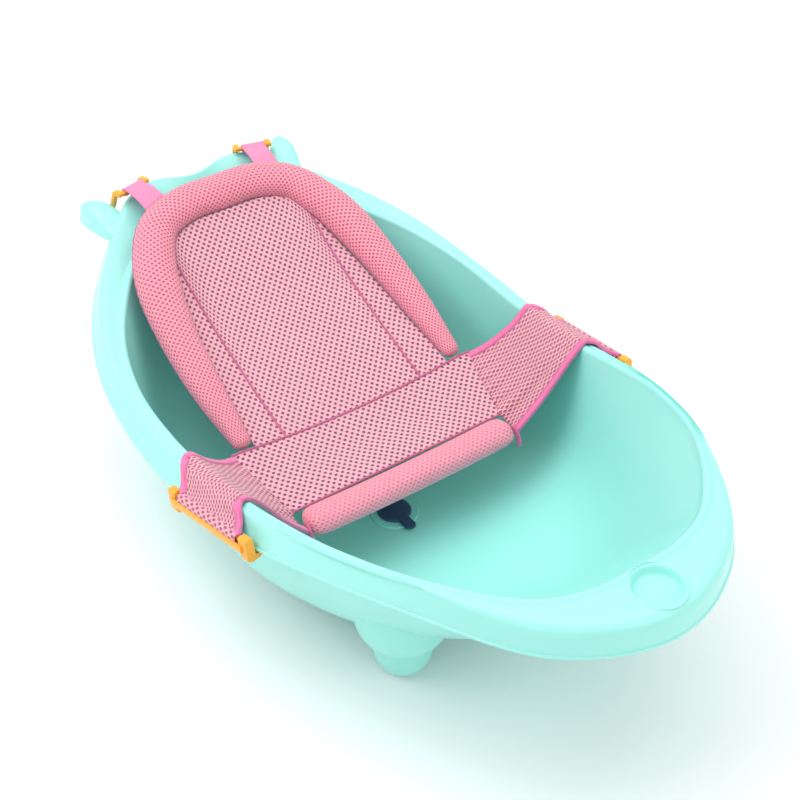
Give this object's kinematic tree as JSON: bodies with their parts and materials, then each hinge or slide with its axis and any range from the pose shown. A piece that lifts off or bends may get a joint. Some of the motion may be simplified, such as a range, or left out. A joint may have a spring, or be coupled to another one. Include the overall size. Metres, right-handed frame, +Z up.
{
  "type": "baby bathtub",
  "caption": "Oval moulded baby bath on domed feet, with ear-shaped head end, soap recess, drain plug and a clip-on padded mesh sling.",
  "frame": {"origin": "on the floor under the middle of the tub's length and width", "axes": "+Z up; +Y towards the head end with the two ears; +X to the right when looking along +Y"},
  "size_m": [0.4946, 0.8572, 0.2625],
  "materials": {
    "mint_plastic": "glossy moulded polypropylene, mint green",
    "navy_silicone": "satin silicone rubber, dark blue",
    "pink_mesh": "matt knitted spacer mesh with small holes, pink",
    "pink_padding": "matt spacer mesh over foam, deeper pink",
    "pink_tape": "woven tape, hot pink",
    "orange_plastic": "smooth moulded plastic, orange",
    "black_rubber": "matt rubber, black"
  },
  "bodies": {
    "tub": {"tub_shell": "mint_plastic", "foot_cap_front_left": "mint_plastic", "foot_cap_front_right": "mint_plastic", "foot_cap_rear_left": "mint_plastic", "foot_cap_rear_right": "mint_plastic", "drain_seat": "mint_plastic", "drain_gasket": "black_rubber", "drain_lock_nut": "mint_plastic", "sling_head_bolster": "pink_padding", "sling_back_centre": "pink_mesh", "sling_back_left": "pink_mesh", "sling_back_right": "pink_mesh", "sling_seat": "pink_mesh", "sling_foot_roll": "pink_padding", "roll_tail_left": "pink_tape", "roll_tail_right": "pink_tape", "sling_wing_left": "pink_mesh", "sling_wing_right": "pink_mesh", "wing_tape_front_left": "pink_tape", "wing_tape_front_right": "pink_tape", "wing_tape_rear_left": "pink_tape", "wing_tape_rear_right": "pink_tape", "head_strap_left": "pink_tape", "head_strap_right": "pink_tape"},
    "plug": {"drain_plug": "navy_silicone"},
    "clip_side_left": {"side_clip_left": "orange_plastic"},
    "clip_side_right": {"side_clip_right": "orange_plastic"},
    "clip_head_left": {"head_clip_left": "orange_plastic"},
    "clip_head_right": {"head_clip_right": "orange_plastic"}
  },
  "joints": [
    {"name": "plug_lift", "type": "slide", "parent": "tub", "child": "plug", "axis": [0, 0, 1], "range_m": [0, 0.03]},
    {"name": "side_clip_right_turn", "type": "hinge", "parent": "tub", "child": "clip_side_right", "pos_m": [0.23442, -0.045, 0.17059], "axis": [-0.0853, -0.9742, 0.2088], "range_deg": [0, 38]},
    {"name": "side_clip_left_turn", "type": "hinge", "parent": "tub", "child": "clip_side_left", "pos_m": [-0.23442, -0.045, 0.17059], "axis": [-0.0853, 0.9742, -0.2088], "range_deg": [0, 38]},
    {"name": "head_clip_right_turn", "type": "hinge", "parent": "tub", "child": "clip_head_right", "pos_m": [0.0785, 0.3915, 0.2515], "axis": [0.9659, -0.2588, 0], "range_deg": [0, 40]},
    {"name": "head_clip_left_turn", "type": "hinge", "parent": "tub", "child": "clip_head_left", "pos_m": [-0.0785, 0.3915, 0.2515], "axis": [0.9659, 0.2588, 0], "range_deg": [0, 40]}
  ]
}
